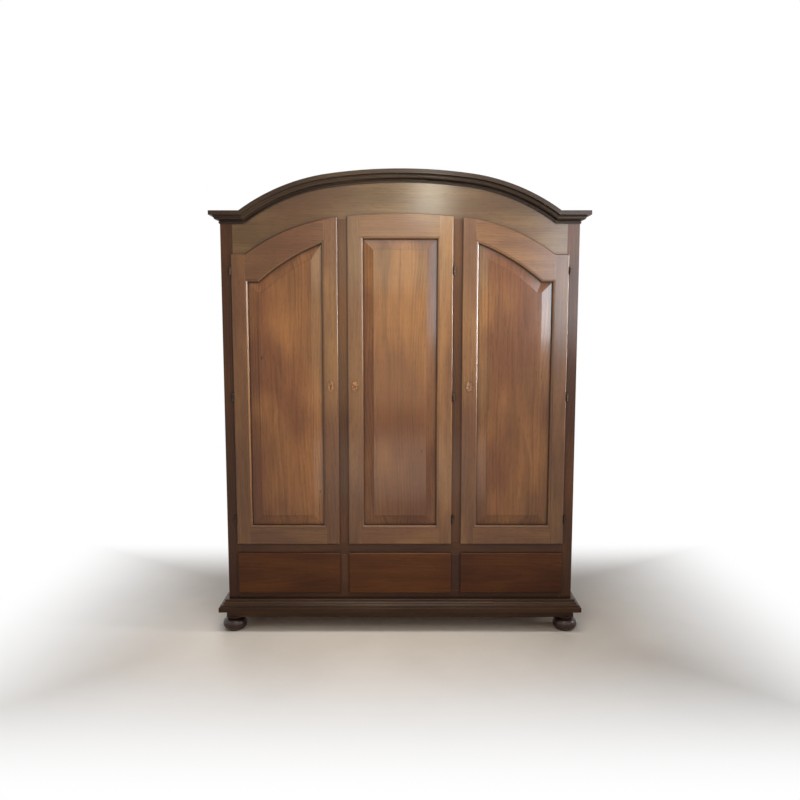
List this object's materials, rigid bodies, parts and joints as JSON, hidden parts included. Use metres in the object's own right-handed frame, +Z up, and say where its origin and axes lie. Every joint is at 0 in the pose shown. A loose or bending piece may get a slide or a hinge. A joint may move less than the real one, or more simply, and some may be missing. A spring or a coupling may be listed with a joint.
{
  "type": "wardrobe",
  "caption": "Arched dark wood wardrobe with framed panel doors over drawers, moulded cornice and base, and turned bun feet.",
  "frame": {"origin": "on the floor, under the middle of the bounding box", "axes": "+Z up, +X to the right of someone who faces the doors, +Y from the doors to the back"},
  "size_m": [1.7902, 0.6451, 2.24],
  "materials": {
    "frame_wood": "satin varnish",
    "panel_wood": "satin varnish, figured",
    "dark_wood": "satin varnish",
    "turned_wood": "gloss varnish",
    "inner_wood": "thin matt varnish",
    "brass": "aged",
    "rail_metal": "polished, worn",
    "steel": "dark, oiled"
  },
  "bodies": {
    "carcass": {"back_boards": "inner_wood", "base_corner_blocks": "inner_wood", "base_long_boards": "dark_wood", "base_moulding_front": "dark_wood", "base_moulding_sides": "dark_wood", "base_side_boards": "dark_wood", "bottom_board": "inner_wood", "bottom_rail": "frame_wood", "compartment_floor": "inner_wood", "cornice_arch": "dark_wood", "cornice_ends": "dark_wood", "cornice_returns": "dark_wood", "drawer_dividers": "frame_wood", "drawer_guides": "inner_wood", "foot_front_left": "turned_wood", "foot_front_right": "turned_wood", "foot_rear_left": "turned_wood", "foot_rear_right": "turned_wood", "frame_hinges": "steel", "frieze_board": "frame_wood", "front_posts": "frame_wood", "hanging_rail": "rail_metal", "mid_posts": "frame_wood", "mid_rail": "frame_wood", "partition": "inner_wood", "rail_sockets": "rail_metal", "rear_posts": "frame_wood", "shelf_cleats": "inner_wood", "shelves": "inner_wood", "side_panels": "frame_wood", "side_rails": "frame_wood", "top_board": "inner_wood"},
    "door_left": {"door_left_hinges": "steel", "door_left_key_plate": "brass", "door_left_lock_case": "steel", "door_left_panel": "panel_wood", "door_left_rails": "frame_wood", "door_left_stiles": "frame_wood"},
    "door_middle": {"door_middle_hinges": "steel", "door_middle_key_plate": "brass", "door_middle_lock_case": "steel", "door_middle_panel": "panel_wood", "door_middle_rails": "frame_wood", "door_middle_stiles": "frame_wood"},
    "door_right": {"door_right_hinges": "steel", "door_right_key_plate": "brass", "door_right_lock_case": "steel", "door_right_panel": "panel_wood", "door_right_rails": "frame_wood", "door_right_stiles": "frame_wood"},
    "drawer_left": {"drawer_left_box": "inner_wood", "drawer_left_front": "frame_wood"},
    "drawer_middle": {"drawer_middle_box": "inner_wood", "drawer_middle_front": "frame_wood"},
    "drawer_right": {"drawer_right_box": "inner_wood", "drawer_right_front": "frame_wood"},
    "bolt_left": {"door_left_bolt": "steel"},
    "bolt_middle": {"door_middle_bolt": "steel"},
    "bolt_right": {"door_right_bolt": "steel"}
  },
  "joints": [
    {"name": "door_left_hinge", "type": "hinge", "parent": "carcass", "child": "door_left", "pos_m": [-0.808, -0.2835, 1.17], "axis": [0, 0, -1], "range_deg": [0, 170]},
    {"name": "door_middle_hinge", "type": "hinge", "parent": "carcass", "child": "door_middle", "pos_m": [0.2585, -0.2835, 1.17], "axis": [0, 0, 1], "range_deg": [0, 155]},
    {"name": "door_right_hinge", "type": "hinge", "parent": "carcass", "child": "door_right", "pos_m": [0.808, -0.2835, 1.17], "axis": [0, 0, 1], "range_deg": [0, 170]},
    {"name": "drawer_left_slide", "type": "slide", "parent": "carcass", "child": "drawer_left", "axis": [0, -1, 0], "range_m": [0, 0.43]},
    {"name": "drawer_middle_slide", "type": "slide", "parent": "carcass", "child": "drawer_middle", "axis": [0, -1, 0], "range_m": [0, 0.43]},
    {"name": "drawer_right_slide", "type": "slide", "parent": "carcass", "child": "drawer_right", "axis": [0, -1, 0], "range_m": [0, 0.43]},
    {"name": "bolt_left_slide", "type": "slide", "parent": "door_left", "child": "bolt_left", "axis": [1, 0, 0], "range_m": [0, 0.009]},
    {"name": "bolt_middle_slide", "type": "slide", "parent": "door_middle", "child": "bolt_middle", "axis": [-1, 0, 0], "range_m": [0, 0.009]},
    {"name": "bolt_right_slide", "type": "slide", "parent": "door_right", "child": "bolt_right", "axis": [-1, 0, 0], "range_m": [0, 0.009]}
  ]
}
